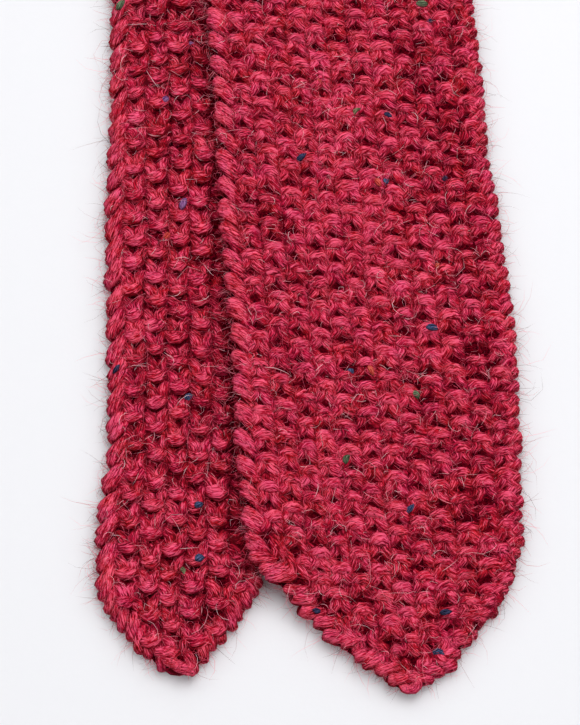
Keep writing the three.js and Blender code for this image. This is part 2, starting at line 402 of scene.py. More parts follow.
class Tubes:
    """Collects yarn into one mesh, with coordinates that run with its fibres and a bake map."""

    def __init__(self, name):
        self.name = name
        self.points, self.quads, self.fibre, self.level = [], [], [], []
        self.spans, self.caps, self.skin = [], [], []
        self.count = 0

    def add(self, centre, normal, radius, sides, height=None, start=0.0, flat=YARN_FLATNESS, open_air=0.0):
        """open_air: how much more light reaches the yarn than its height tells, painted into its colour:
        above 0 painted light, below 0 painted shade.
        """
        n = len(centre)
        radius = np.broadcast_to(radius, (n,))
        steps = np.linalg.norm(np.diff(centre, axis=0), axis=1)
        along = start + np.concatenate(((0,), np.cumsum(steps)))
        tangent = np.gradient(centre, axis=0)
        tangent /= np.linalg.norm(tangent, axis=1, keepdims=True)
        side = np.cross(tangent, normal)
        side /= np.maximum(np.linalg.norm(side, axis=1, keepdims=True), 1e-6)
        up = np.cross(side, tangent)
        theta = np.arange(sides) * 2 * math.pi / sides
        sideways = side[:, None, :] * np.cos(theta)[None, :, None]
        ring = sideways + up[:, None, :] * np.sin(theta)[None, :, None] * flat
        lumps = 1 + LUMPINESS * rng.normal(size=(n, sides))
        points = centre[:, None, :] + ring * (radius[:, None] * lumps)[:, :, None]
        points[..., 2] = np.maximum(points[..., 2], LOWEST)
        turn = theta[None, :] - YARN_TWIST * along[:, None]
        fibre = np.stack((along[:, None] + 0 * turn, np.cos(turn), np.sin(turn)), -1)
        self.fibre.append(fibre.reshape(-1, 3))
        above = np.zeros(n) if height is None else height
        open_air = np.broadcast_to(open_air, (n,))
        # level: the surface's height from the cloth's middle plus open_air; yarn_material turns it into
        # painted shade
        level = np.abs(above[:, None] + radius[:, None] * flat * np.sin(theta)[None, :])
        self.level.append((level + open_air[:, None]).reshape(-1))
        i, k = np.arange(n - 1)[:, None], np.arange(sides)[None, :]
        following = (k + 1) % sides
        quad = (i * sides + k, i * sides + following, (i + 1) * sides + following, (i + 1) * sides + k)
        self.points.append(points.reshape(-1, 3))
        self.quads.append(np.stack(quad, -1).reshape(-1, 4) + self.count)
        self.spans.append((n - 1, sides))
        self.caps += [np.arange(sides)[::-1] + self.count, np.arange(sides) + (n - 1) * sides + self.count]
        if height is not None:
            run = np.full(n, len(self.spans))
            self.skin.append((centre, side, up, tangent, radius, height, run))
        self.count += n * sides

    def bake_map(self):
        """One row for each tube, one column for each step along it, and a spare corner for the ends."""
        longest = max(n for n, _ in self.spans)
        parts = []
        for row, (n, sides) in enumerate(self.spans):
            i, k = np.arange(n)[:, None], np.arange(sides)[None, :]
            left, right = i / longest + 0 * k, (i + STEP_FILL) / longest + 0 * k
            low = (row + TUBE_MARGIN + TUBE_FILL * k / sides) / len(self.spans) + 0 * i
            high = low + SIDE_FILL / sides / len(self.spans)
            corners = ((left, low), (left, high), (right, high), (right, low))
            parts.append(np.stack([np.stack(c, -1) for c in corners], 2).reshape(-1, 2))
        sides = self.spans[0][1]
        angle = np.arange(sides) * 2 * math.pi / sides
        cap = 0.5 + 0.5 * np.stack((np.cos(angle), np.sin(angle)), -1)
        cap *= (END_SIZE[0] / longest, END_SIZE[1] / len(self.spans))
        body = np.concatenate(parts) * (BODY_SHARE, 1.0)
        ends = [cap + (ENDS_FROM, row / len(self.caps) * BODY_SHARE) for row in range(len(self.caps))]
        return np.concatenate([body] + ends)

    def build(self, material):
        quads = np.concatenate(self.quads)
        corners = np.concatenate((quads.reshape(-1), np.concatenate(self.caps)))
        sizes = np.concatenate((np.full(len(quads), 4), [len(c) for c in self.caps]))
        return mesh_object(self.name, np.concatenate(self.points), corners, sizes, self.bake_map(),
                           material, fibre=np.concatenate(self.fibre), level=np.concatenate(self.level))


HAIR_TAPER = 0.55
HAIR_CLEAR = 0.03


class Hairs:
    """Collects closed, tapering, three-sided fibres into one mesh."""

    def __init__(self, name):
        self.name, self.parts, self.tone = name, [], []

    def add(self, points, width, tone):
        """points: fibres x places x 3. The fibre is widest at its first place and ends in a point."""
        points[..., 2] = np.maximum(points[..., 2], LOWEST + HAIR_CLEAR)
        count, places, _ = points.shape
        along = np.diff(points, axis=1)
        along /= np.maximum(np.linalg.norm(along, axis=2, keepdims=True), 1e-9)
        a = np.cross(along, rng.normal(size=(count, 1, 3)))
        a /= np.maximum(np.linalg.norm(a, axis=2, keepdims=True), 1e-9)
        b = np.cross(along, a)
        angle = np.arange(3) * 2 * math.pi / 3
        rings = a[:, :, None, :] * np.cos(angle)[:, None] + b[:, :, None, :] * np.sin(angle)[:, None]
        taper = np.linspace(1, HAIR_TAPER, places - 1)
        rings *= np.asarray(width).reshape(-1, 1, 1, 1) / 2 * taper[None, :, None, None]
        rings += points[:, :-1, None, :]
        rings[..., 2] = np.maximum(rings[..., 2], LOWEST)
        body = rings.reshape(count, -1, 3)
        self.parts.append(np.concatenate((body, points[:, -1:]), axis=1))
        self.tone.append(np.repeat(np.broadcast_to(tone, (count,)), body.shape[1] + 1))

    @staticmethod
    def pattern(rings):
        """Corner numbers and bake places, in a unit cell, of one fibre's triangles."""
        tris, uv = [], []
        tip = rings * 3
        for k in range(3):
            following = (k + 1) % 3
            low, high = k * 0.3, k * 0.3 + 0.28
            for r in range(rings - 1):
                u0, u1 = 0.08 + 0.9 * r / rings, 0.08 + 0.9 * (r + 0.97) / rings
                a, b, c, d = r * 3 + k, r * 3 + following, r * 3 + 3 + following, r * 3 + 3 + k
                tris += [(a, b, c), (a, c, d)]
                uv += [((u0, low), (u0, high), (u1, high)), ((u0, low), (u1, high), (u1, low))]
            tris.append((tip - 3 + k, tip - 3 + following, tip))
            u0 = 0.08 + 0.9 * (rings - 1) / rings
            uv.append(((u0, low), (u0, high), (0.98, (low + high) / 2)))
        tris.append((0, 2, 1))
        uv.append(((0.0, 0.0), (0.06, 0.0), (0.03, 0.8)))
        return np.array(tris), np.array(uv, float)

    def build(self, material):
        total = sum(len(p) for p in self.parts)
        grid = int(math.ceil(math.sqrt(total)))
        base, number, corners, uvs = 0, 0, [], []
        for part in self.parts:
            tris, uv = self.pattern((part.shape[1] - 1) // 3)
            first = base + np.arange(len(part)) * part.shape[1]
            corners.append((tris[None] + first[:, None, None]).reshape(-1))
            cell = number + np.arange(len(part))
            place = np.stack((cell % grid, cell // grid), -1)
            uvs.append(((uv[None] * 0.94 + place[:, None, None, :]) / grid).reshape(-1, 2))
            base += len(part) * part.shape[1]
            number += len(part)
        corners = np.concatenate(corners)
        points = np.concatenate([p.reshape(-1, 3) for p in self.parts])
        sizes = np.full(len(corners) // 3, 3)
        return mesh_object(self.name, points, corners, sizes, np.concatenate(uvs), material,
                           tone=np.concatenate(self.tone))


# Materials
def srgb(r, g, b):
    def linear(c):
        c /= 255
        return c / 12.92 if c <= 0.04045 else ((c + 0.055) / 1.055) ** 2.4
    return (linear(r), linear(g), linear(b), 1.0)


def new_material(name):
    material = bpy.data.materials.new(name)
    material.use_nodes = True
    tree = material.node_tree
    return material, tree, tree.nodes["Principled BSDF"]


def ramp_node(tree, stops):
    """A colour ramp through (place, colour) stops."""
    ramp = tree.nodes.new("ShaderNodeValToRGB")
    elements = ramp.color_ramp.elements
    elements[0].position, elements[0].color = stops[0]
    elements[1].position, elements[1].color = stops[-1]
    for place, colour in stops[1:-1]:
        elements.new(place).color = colour
    return ramp


def noise_node(tree, vector, scale, detail, roughness=0.6):
    noise = tree.nodes.new("ShaderNodeTexNoise")
    noise.inputs["Scale"].default_value = scale
    noise.inputs["Detail"].default_value = detail
    noise.inputs["Roughness"].default_value = roughness
    tree.links.new(vector, noise.inputs["Vector"])
    return noise


def add_scaled(tree, value, factor, base):
    node = tree.nodes.new("ShaderNodeMath")
    node.operation = "MULTIPLY_ADD"
    node.inputs[1].default_value = factor
    tree.links.new(value, node.inputs[0])
    tree.links.new(base, node.inputs[2])
    return node.outputs["Value"]


def map_range(tree, value, from_low, from_high, to_low, to_high):
    node = tree.nodes.new("ShaderNodeMapRange")
    node.inputs["From Min"].default_value = from_low
    node.inputs["From Max"].default_value = from_high
    node.inputs["To Min"].default_value = to_low
    node.inputs["To Max"].default_value = to_high
    tree.links.new(value, node.inputs["Value"])
    return node.outputs["Result"]


def add_bump(tree, shader, height, strength, distance):
    bump = tree.nodes.new("ShaderNodeBump")
    bump.inputs["Strength"].default_value = strength
    bump.inputs["Distance"].default_value = distance
    tree.links.new(height, bump.inputs["Height"])
    tree.links.new(bump.outputs["Normal"], shader.inputs["Normal"])


STRANDS_AROUND = 5.2
STRANDS_ALONG = 0.55
PATCH_SHARE = 0.25
# The level from deep to raised, and the painted shade and painted light it gives the yarn's colour
DEEP_LEVEL, RAISED_LEVEL = 0.95, 2.4
DEEP_PAINTED_SHADE, RAISED_PAINTED_LIGHT = -1.0, 0.35
DYE_SWING = 0.005


def yarn_material(name, dark, middle, light, painted_shade_by_level=0.0):
    """Drawn-out fibres along the yarn, in three shades. The last argument paints shade into the colour: it
    darkens what lies deeper in the cloth and lightens what is raised.
    """
    material, tree, shader = new_material(name)
    fibre = tree.nodes.new("ShaderNodeAttribute")
    fibre.attribute_name = "fibre"
    stretch = tree.nodes.new("ShaderNodeMapping")
    stretch.inputs["Scale"].default_value = (STRANDS_ALONG, STRANDS_AROUND, STRANDS_AROUND)
    tree.links.new(fibre.outputs["Vector"], stretch.inputs["Vector"])
    strands = noise_node(tree, stretch.outputs["Vector"], 1.0, 1.5, 0.6)
    strands.inputs["Distortion"].default_value = 0.9
    place = tree.nodes.new("ShaderNodeTexCoord")
    patches = noise_node(tree, place.outputs["Object"], 400.0, 3.0, 0.75)
    shade = add_scaled(tree, patches.outputs["Fac"], PATCH_SHARE, strands.outputs["Fac"])
    if painted_shade_by_level:
        level = tree.nodes.new("ShaderNodeAttribute")
        level.attribute_name = "level"
        raised = map_range(tree, level.outputs["Fac"], DEEP_LEVEL, RAISED_LEVEL, DEEP_PAINTED_SHADE, RAISED_PAINTED_LIGHT)
        shade = add_scaled(tree, raised, painted_shade_by_level, shade)
    # The ramp's dark and light ends are random fibre colour, with their contrast raised as painted shade
    # between the fibres and painted highlights on them
    ramp = ramp_node(tree, ((0.497, dark), (0.613, middle), (0.73, light)))
    tree.links.new(shade, ramp.inputs["Fac"])
    dye = noise_node(tree, place.outputs["Object"], 210.0, 1.0)
    hue = tree.nodes.new("ShaderNodeHueSaturation")
    turned = map_range(tree, dye.outputs["Fac"], 0.3, 0.7, 0.5 - DYE_SWING, 0.5 + DYE_SWING)
    tree.links.new(turned, hue.inputs["Hue"])
    tree.links.new(ramp.outputs["Color"], hue.inputs["Color"])
    tree.links.new(hue.outputs["Color"], shader.inputs["Base Color"])
    add_bump(tree, shader, strands.outputs["Fac"], strength=1.0, distance=0.00045)
    shader.inputs["Roughness"].default_value = 0.9
    shader.inputs["Specular IOR Level"].default_value = 0.08
    shader.inputs["Sheen Weight"].default_value = 0.05
    shader.inputs["Sheen Roughness"].default_value = 0.5
    shader.inputs["Sheen Tint"].default_value = light
    return material


def hair_material():
    """tone goes from 0, deep crimson, to 1, undyed pale hair."""
    material, tree, shader = new_material("loose_fibres")
    tone = tree.nodes.new("ShaderNodeAttribute")
    tone.attribute_name = "tone"
    place = tree.nodes.new("ShaderNodeTexCoord")
    flicker = noise_node(tree, place.outputs["Object"], 900.0, 1.0)
    shade = add_scaled(tree, flicker.outputs["Fac"], 0.06, tone.outputs["Fac"])
    ramp = ramp_node(tree, ((0.05, srgb(84, 0, 14)), (0.35, srgb(200, 20, 50)), (0.65, srgb(246, 96, 124)),
                            (0.85, srgb(255, 165, 178)), (1.0, srgb(255, 220, 224))))
    tree.links.new(shade, ramp.inputs["Fac"])
    tree.links.new(ramp.outputs["Color"], shader.inputs["Base Color"])
    shader.inputs["Roughness"].default_value = 0.7
    shader.inputs["Specular IOR Level"].default_value = 0.15
    return material


def core_painted_shade_material():
    material, tree, shader = new_material("core_painted_shade")
    place = tree.nodes.new("ShaderNodeTexCoord")
    noise = noise_node(tree, place.outputs["Object"], 1500.0, 2.0)
    # Near-black crimson: painted shade, darker than the yarn, for the shaded inside of the cloth
    ramp = ramp_node(tree, ((0.35, srgb(28, 0, 6)), (0.65, srgb(96, 2, 18))))
    tree.links.new(noise.outputs["Fac"], ramp.inputs["Fac"])
    tree.links.new(ramp.outputs["Color"], shader.inputs["Base Color"])
    add_bump(tree, shader, noise.outputs["Fac"], strength=1.0, distance=0.0005)
    shader.inputs["Roughness"].default_value = 1.0
    shader.inputs["Specular IOR Level"].default_value = 0.0
    return material


def floor_material():
    material, tree, shader = new_material("white_cloth")
    place = tree.nodes.new("ShaderNodeTexCoord")
    noise = noise_node(tree, place.outputs["Object"], 900.0, 2.0)
    add_bump(tree, shader, noise.outputs["Fac"], strength=0.12, distance=0.0003)
    shader.inputs["Base Color"].default_value = srgb(230, 230, 233)
    shader.inputs["Roughness"].default_value = 0.95
    shader.subsurface_method = "BURLEY"
    shader.inputs["Subsurface Weight"].default_value = 1.0
    shader.inputs["Subsurface Radius"].default_value = (1.0, 1.0, 1.0)
    shader.inputs["Subsurface Scale"].default_value = 0.01
    return material


wool = yarn_material("tweed_wool", srgb(97, 3, 19), srgb(192, 15, 49), srgb(242, 90, 122), painted_shade_by_level=0.115)
hair = hair_material()
pieces = []

# The courses of stitches. Both ends of the tie, which lie side by side, have finer tubes than the rest.
# Steps along a stitch or a turn at the edge, and sides. A tube with few sides is made a little wider
FINE_REACH = 186.0
FINE = (15, 8)
FINE_EDGE = (14, 8)
PLAIN = (7, 5)
PLAIN_SWELL = 1.08
WANDER_SCALE = 3
GROUP_ENDS = ((FINE_REACH, "yarn_blade_end"), (430.0, "yarn_blade"), (900.0, "yarn_neck"),
              (TOTAL - FINE_REACH, "yarn_tail"), (TOTAL, "yarn_tail_end"))
# Where along the streaks the next stitch starts, and the painted shade that darkens the tail, which lies
# lower, in the blade's shade
YARN_GAP = 40.0
TAIL_PAINTED_SHADE = -0.33
groups = {name: Tubes(name) for _, name in GROUP_ENDS}


def group_at(s):
    return next(name for end, name in GROUP_ENDS if s <= end)


def is_fine(s):
    return s < FINE_REACH or s > TOTAL - FINE_REACH


def add_yarn(group, path, sides, radius, start=0.0, open_air=0.0):
    s, w, z = path.T
    radius = radius * (1 + thick_and_thin(s * WANDER_SCALE, w * WANDER_SCALE))
    if sides < FINE[1]:
        radius = radius * PLAIN_SWELL
    centre, normal = laid(s, w, z), cloth_normal(s, w)
    group.add(centre, normal, radius, sides, height=z, start=start, open_air=open_air)


def knit_courses():
    start = 0.0
    for n in range(COURSES):
        s0 = (n + FIRST_COURSE) * ROW
        per_stitch, sides = FINE if is_fine(s0) else PLAIN
        path, girth = course_path(n, per_stitch)
        if path is not None:
            open_air = TAIL_PAINTED_SHADE if s0 > BLADE_HALF else 0.0
            add_yarn(groups[group_at(s0)], path, sides, YARN_RADIUS * girth, start, open_air)
            start += YARN_GAP * BLADE_COLUMNS


knit_courses()

# The edges: the yarn turns at the end of each row. On the left its turns slant, in pairs.
# Columns: from the edge in millimetres, along in rows, height in millimetres, from inside to the edge
LEFT_TURN = np.array([(5.0, -1.0, -0.9), (4.5, -0.88, -0.3), (3.8, -0.6, 0.7), (2.9, -0.15, 1.3),
                      (1.8, 0.25, 1.15), (1.05, 0.5, 0.6), (0.8, 0.6, 0.0)])
RIGHT_TURN = np.array([(3.9, -0.45, -0.6), (3.3, -0.35, 0.1), (2.6, -0.25, 0.8), (1.9, -0.05, 1.05),
                       (1.25, 0.1, 0.85), (0.9, 0.17, 0.45), (0.8, 0.2, 0.0)])
POINT_TURN = np.array([(5.3, -0.82, -0.6), (4.5, -0.7, 0.1), (3.5, -0.48, 0.8), (2.3, -0.15, 1.12),
                       (1.45, 0.17, 0.88), (0.95, 0.38, 0.4), (0.85, 0.45, 0.0)])
LEFT_RADIUS = 1.42
RIGHT_RADIUS = 1.4
POINT_RADIUS = 1.42
EDGE_DROOP = 1.1
LYING_EDGE_DROOP = -0.5
DROOP_REACH = 3.4
TIP_CLEAR = 1.9
PAIR_SHIFT = 0.2
PAIR_LIFT = 0.14
STRAIGHT_FROM, STRAIGHT_OVER = 0.75, 0.2
# Painted light: the yarn at the edge is made lighter, as more light reaches it there
EDGE_PAINTED_LIGHT = 1.5

# How much single turns differ, and how much more they do along the points
UNEVEN_TURN_OUT = 0.15
UNEVEN_TURN_ALONG = 0.08
UNEVEN_TURN_HEIGHT = 0.06
UNEVEN_POINT_LENGTH = 0.1
UNEVEN_POINT = 1.2


def outline(side):
    """The flat strip's edge as places s, w and the length along it."""
    s = np.linspace(1.0, TOTAL - 1.0, 4000)
    w = side * half_width(s, side)
    length = np.concatenate(((0,), np.cumsum(np.hypot(np.diff(s), np.diff(w)))))
    return s, w, length


def edge_frame(side, at, reach=3.0):
    """Place, direction along and direction inwards at a length along the edge, in s and w."""
    s, w, length = outline(side)

    def place(x):
        return np.stack((np.interp(x, length, s), np.interp(x, length, w)), -1)
    along = place(at + reach) - place(at - reach)
    along /= np.linalg.norm(along, axis=-1, keepdims=True)
    inwards = np.stack((along[..., 1], -along[..., 0]), -1) * side
    return place(at), along, inwards


def droop(side, s):
    """How far the edge hangs below the cloth's middle, towards the surface below."""
    if s > BLADE_HALF:
        return -EDGE_DROOP
    return LYING_EDGE_DROOP if side < 0 else EDGE_DROOP


def knit_edge(side):
    side_turn, side_radius = (LEFT_TURN, LEFT_RADIUS) if side < 0 else (RIGHT_TURN, RIGHT_RADIUS)
    total = outline(side)[2][-1]
    numbers = np.arange(int(total / ROW))
    place, along, inwards = edge_frame(side, (numbers + 0.5) * ROW)
    for n, origin, onward, inward in zip(numbers, place, along, inwards):
        if not TIP_CLEAR < origin[0] < TOTAL - TIP_CLEAR:
            continue
        straight = smooth_step((abs(onward[0]) - STRAIGHT_FROM) / STRAIGHT_OVER)
        turn = POINT_TURN + (side_turn - POINT_TURN) * straight
        radius = POINT_RADIUS + (side_radius - POINT_RADIUS) * straight
        pair = (1 if n % 2 else -1) * straight * (side < 0)
        whole = np.vstack((turn, turn[::-1][1:] * (1, 1, -1)))
        whole = np.vstack((whole[:1], whole, whole[-1:]))
        per_turn, sides = FINE_EDGE if is_fine(origin[0]) else PLAIN
        out, rows, z = spline(whole, per_turn).T
        uneven = 1 + UNEVEN_POINT * (1 - straight)
        out = out * (1 + UNEVEN_POINT_LENGTH * (1 - straight) * rng.normal())
        out = out + UNEVEN_TURN_OUT * uneven * rng.normal()
        rows = rows + UNEVEN_TURN_ALONG * uneven * rng.normal() - PAIR_SHIFT * pair
        z = z * (1 + UNEVEN_TURN_HEIGHT * rng.normal()) + PAIR_LIFT * pair
        at_edge = smooth_step(1 - out / DROOP_REACH)
        z = z - droop(side, origin[0]) * at_edge
        flat_place = origin + out[:, None] * inward + rows[:, None] * ROW * onward
        path = np.column_stack((flat_place, z))
        group = groups[group_at(origin[0])]
        add_yarn(group, path, sides, radius, start=n * YARN_GAP, open_air=EDGE_PAINTED_LIGHT * at_edge)


knit_edge(-1)
knit_edge(1)


# The first stitch stands out as a small ring at the blade's tip, and at the tail's the cut yarn lies across
TIP_RADIUS = 1.4
TIP_LIFT = 0.5
TIP_MIDDLE = (BLADE_POINT_ROWS[0, 2] - BLADE_POINT_ROWS[0, 1]) * BLADE_WIDTH / 4
RING_FROM_TIP = 2.6
RING_HALF_LONG, RING_HALF_WIDE = 1.5, 1.6
RING_TILT = 0.5
RING_OVERLAP = 0.2
RING_STEPS = 26
# Painted light on the ring, as more light reaches it
RING_PAINTED_LIGHT = 1.2
# Columns: from the tail's tip, across, height in millimetres
YARN_END = np.array([(8.2, -7.5, -0.4), (6.4, -4.6, -0.8), (4.4, -2.2, -1.2), (3.0, 0.2, -1.3),
                     (2.1, 2.2, -1.1), (1.5, 3.9, -0.7), (1.2, 5.5, -0.4)])
YARN_END_RADIUS = 1.35
YARN_END_STEPS = 22
YARN_END_THINNER = 0.4
# Painted light on the cut yarn, as more light reaches it
YARN_END_PAINTED_LIGHT = 0.9


def first_stitch():
    angle = np.linspace(-RING_OVERLAP, 2 * math.pi + RING_OVERLAP, RING_STEPS)
    along = RING_FROM_TIP + RING_HALF_LONG * np.cos(angle)
    across = TIP_MIDDLE + RING_HALF_WIDE * np.sin(angle)
    height = TIP_LIFT + RING_TILT * np.cos(angle / 2)
    path = np.stack((along, across, height), -1)
    add_yarn(groups["yarn_blade_end"], path, FINE[1], TIP_RADIUS, open_air=RING_PAINTED_LIGHT)


def cut_yarn():
    path = spline(YARN_END, YARN_END_STEPS) * (-1, 1, 1) + (TOTAL, 0, 0)
    thinning = 1 - YARN_END_THINNER * np.linspace(0, 1, len(path)) ** 4
    add_yarn(groups["yarn_tail_end"], path, FINE[1], YARN_END_RADIUS * thinning, open_air=YARN_END_PAINTED_LIGHT)


first_stitch()
cut_yarn()

for group in groups.values():
    pieces.append(group.build(wool))

# Tweed flecks: small lumps of dyed wool spun into the yarn
FLECK_SHADES = {
    "blue": ((22, 26, 50), (52, 62, 100), (102, 118, 154)),
    "navy": ((12, 12, 30), (30, 32, 62), (84, 86, 122)),
    "green": ((34, 44, 30), (78, 92, 68), (136, 150, 118)),
    "olive": ((62, 56, 36), (118, 112, 78), (168, 164, 128)),
    "orange": ((130, 22, 22), (208, 62, 54), (238, 116, 98)),
    "violet": ((58, 26, 70), (120, 62, 124), (178, 130, 180)),
}
# Columns: up from the tip and across in millimetres, shade
BLADE_FLECKS = (
    (8.7, 10, "blue"), (18.7, 12, "navy"), (20.7, -16, "navy"), (24.7, 22, "navy"), (41.7, 6, "blue"),
    (54.7, -6, "green"), (69.7, 10, "green"), (76.7, -4, "blue"), (76.7, 0, "orange"), (85.7, 14, "blue"),
    (100.7, 17, "orange"), (122.7, 4, "orange"), (122.7, 7, "blue"), (122.7, 21, "navy"),
    (128.7, -13, "navy"), (138.7, 9, "navy"), (140.7, 2, "olive"), (149.7, -8, "orange"),
    (163.7, 21, "navy"), (166.7, 19, "green"),
)
TAIL_FLECKS = (
    (26, 1, "olive"), (27, 4, "blue"), (40, 4, "blue"), (66, 2, "blue"), (74, -17, "navy"),
    (106, -4, "orange"), (114, 0, "orange"), (115, -1, "violet"), (140, -4, "violet"),
    (156, 1, "violet"), (166, -18, "green"),
)
FLECK_SWELL = np.array((0.25, 0.8, 1.0, 0.95, 0.7, 0.2))
FLECK_RADIUS = 0.78
FLECK_STEP = 0.5
FLECK_SIDES = 8
FLECK_FLATNESS = 0.75
FLECK_SUNK = 0.05
FLECK_BEND = 0.05
FLECK_LENGTHS = (0.8, 1.3)
FLECK_GIRTHS = (0.75, 1.25)
UNSEEN_FLECKS_EVERY = 9.0
UNSEEN_FLECKS_ACROSS = 0.85
PREFER_RAISED = 0.8


class Skin:
    """All the yarn samples of a group, to set fibres on."""

    def __init__(self, group):
        columns = [np.concatenate(c) for c in zip(*group.skin)]
        self.centre, self.side, self.up, self.tangent, self.radius, self.height, self.run = columns

    def at(self, i, angle, off):
        out = self.side[i] * np.cos(angle)[:, None] + self.up[i] * (np.sin(angle) * YARN_FLATNESS)[:, None]
        return self.centre[i] + out * (self.radius[i] + off)[:, None]

    def nearest(self, place, facing):
        """The sample of the cloth's given face that lies nearest to a place and on top there."""
        away = np.linalg.norm((self.centre - place)[:, :2], axis=1)
        return int(np.argmin(away - PREFER_RAISED * self.height * facing))


def fleck(tubes, skin, s, w, facing):
    """A lump of wool on the yarn that shows at s, w."""
    i = skin.nearest(laid(np.array([s]), np.array([w]), np.array([2.0 * facing]))[0], facing)
    face = skin.up[i] * facing
    place = skin.centre[i] + face * (skin.radius[i] * YARN_FLATNESS - FLECK_SUNK)
    bend = rng.normal(0, FLECK_BEND, 2)
    steps = np.arange(len(FLECK_SWELL)) - (len(FLECK_SWELL) - 1) / 2
    centre = place + steps[:, None] * FLECK_STEP * skin.tangent[i] * rng.uniform(*FLECK_LENGTHS)
    centre = centre + (steps ** 2)[:, None] * (skin.side[i] * bend[0] - face * FLECK_BEND)
    radius = FLECK_RADIUS * rng.uniform(*FLECK_GIRTHS) * FLECK_SWELL
    normal = np.repeat(face[None], len(centre), 0)
    tubes.add(centre, normal, radius, FLECK_SIDES, flat=FLECK_FLATNESS, start=rng.uniform(0, 100))


def add_flecks():
    skins = {name: Skin(group) for name, group in groups.items()}
    lumps = {shade: Tubes("fleck_" + shade) for shade in FLECK_SHADES}
    for up, across, shade in BLADE_FLECKS:
        fleck(lumps[shade], skins[group_at(up)], up, across, 1)
    for up, across, shade in TAIL_FLECKS:
        fleck(lumps[shade], skins[group_at(TOTAL - up)], TOTAL - up, across, -1)
    shades = list(FLECK_SHADES)
    for s in np.arange(FINE_REACH, TOTAL - FINE_REACH, UNSEEN_FLECKS_EVERY):
        for facing in (-1, 1):
            across = rng.uniform(-UNSEEN_FLECKS_ACROSS, UNSEEN_FLECKS_ACROSS) * full_width(s) / 2
            shade = shades[rng.randint(len(shades))]
            fleck(lumps[shade], skins[group_at(s)], s, float(across), facing)
    for shade, tubes in lumps.items():
        dyed = yarn_material("fleck_" + shade, *(srgb(*c) for c in FLECK_SHADES[shade]))
        pieces.append(tubes.build(dyed))


add_flecks()

# A dark sheet inside the cloth, which closes the gaps between the stitches: painted shade, standing for the
# shaded yarn deep inside
CORE_HALF_THICKNESS = 0.8
CORE_EDGE_THICKNESS = 0.25
CORE_INSET = 1.2
CORE_END_INSET = 1.5
CORE_LEAST_HALF_WIDTH = 0.4
CORE_EDGE_REACH = 3.5
CORE_ROUGHNESS = (0.7, 1.3)
CORE_COLUMNS = 15
CORE_STEP, CORE_PLAIN_STEP = 3.0, 8.0
CORE_MAP_SHARE = 0.98
CORE_ENDS_FROM, END_CELL = 0.985, 0.008


def core_strip():
    s = np.concatenate((np.arange(CORE_END_INSET, FINE_REACH, CORE_STEP),
                        np.arange(FINE_REACH, BLADE_HALF - FOLD_SETTLE, CORE_PLAIN_STEP),
                        np.arange(BLADE_HALF - FOLD_SETTLE, BLADE_HALF + FOLD_SETTLE, CORE_STEP),
                        np.arange(BLADE_HALF + FOLD_SETTLE, TOTAL - FINE_REACH, CORE_PLAIN_STEP),
                        np.arange(TOTAL - FINE_REACH, TOTAL - CORE_END_INSET, CORE_STEP)))
    share = np.linspace(-1, 1, CORE_COLUMNS)
    left = -half_width(s, -1) + CORE_INSET
    right = half_width(s, 1) - CORE_INSET
    middle, half = (left + right) / 2, np.maximum((right - left) / 2, CORE_LEAST_HALF_WIDTH)
    w = middle[:, None] + half[:, None] * share[None, :]
    ss = np.broadcast_to(s[:, None], w.shape)
    from_edge = (1 - np.abs(share))[None, :] * half[:, None]
    inside = smooth_step(from_edge / CORE_EDGE_REACH)
    thick = CORE_EDGE_THICKNESS + (CORE_HALF_THICKNESS - CORE_EDGE_THICKNESS) * inside
    rough = rng.uniform(*CORE_ROUGHNESS, size=(2,) + w.shape)
    top, bottom = laid(ss, w, thick * rough[0]), laid(ss, w, -thick * rough[1])
    rows, cols = w.shape
    ring = np.concatenate((top, bottom[:, ::-1]), axis=1)
    around = 2 * cols
    i, j = np.arange(rows - 1)[:, None], np.arange(around)[None, :]
    following = (j + 1) % around
    quads = np.stack((i * around + j, i * around + following, (i + 1) * around + following,
                      (i + 1) * around + j), -1).reshape(-1, 4)
    c = np.arange(cols - 1)
    end = np.stack((c, c + 1, around - 2 - c, around - 1 - c), -1)
    faces = np.concatenate((quads, end[:, ::-1], end + (rows - 1) * around))
    left_u, low_v = i / rows + 0 * j, j / around + 0 * i
    right_u, high_v = (i + 1) / rows + 0 * j, (j + 1) / around + 0 * i
    corners = ((left_u, low_v), (left_u, high_v), (right_u, high_v), (right_u, low_v))
    body = np.stack([np.stack(corner, -1) for corner in corners], 2).reshape(-1, 2) * CORE_MAP_SHARE
    cell = np.array(((0, 0), (1, 0), (1, 1), (0, 1))) * END_CELL
    end_places = [(CORE_ENDS_FROM, CORE_MAP_SHARE * k / (2 * cols)) for k in range(2 * (cols - 1))]
    ends = np.concatenate([cell + place for place in end_places])
    core = mesh_object("wool_core_painted_shade", ring.reshape(-1, 3), faces.reshape(-1), np.full(len(faces), 4),
                       np.concatenate((body, ends)), core_painted_shade_material())
    area = float(np.sum((2 * half)[:-1] * np.diff(s))) / 1e6
    return core, area, float(2 * half.max()) / 1000, float(s[-1] - s[0]) / 1000


core, core_area, core_width, core_length = core_strip()


# Fuzz: fibres that stand off the yarn
WIDTH_SPREAD = (0.7, 1.3)

# Clinging fibres: how far round the yarn they start, how they turn and lift, and how they stray
LEAST_HEIGHT = 0.25
SPREAD_AROUND = 0.8
TURN_EACH_STEP = 0.45
MEAN_LIFT = 0.25
ROOT_DEPTH = 0.06
ROOT_RISE = 0.1
LIFT_POWER, LIFT_SHARE = 1.5, 1.6
STRAY_AT_ROOT, STRAY_AT_TIP = 0.06, 0.22

# Loose hairs
LONG_SPREAD = 0.45
HEIGHT_SPREAD = 0.35
ARCH = 0.7
LOOSE_STRAY = 0.08
EDGE_CLEAR = 1.0

# The halo at the edges
HALO_HEADING = 0.65
HALO_LONG_SPREAD = 0.5
HALO_LONGEST = 3.2
HALO_CURVE = 0.8
HALO_ROOT = (0.3, 1.6)
HALO_LOW, HALO_HIGH = -1.2, 1.6
HALO_TIP_HEIGHT, HALO_TIP_SPREAD = -0.3, 1.3
HALO_STRAY = 0.15


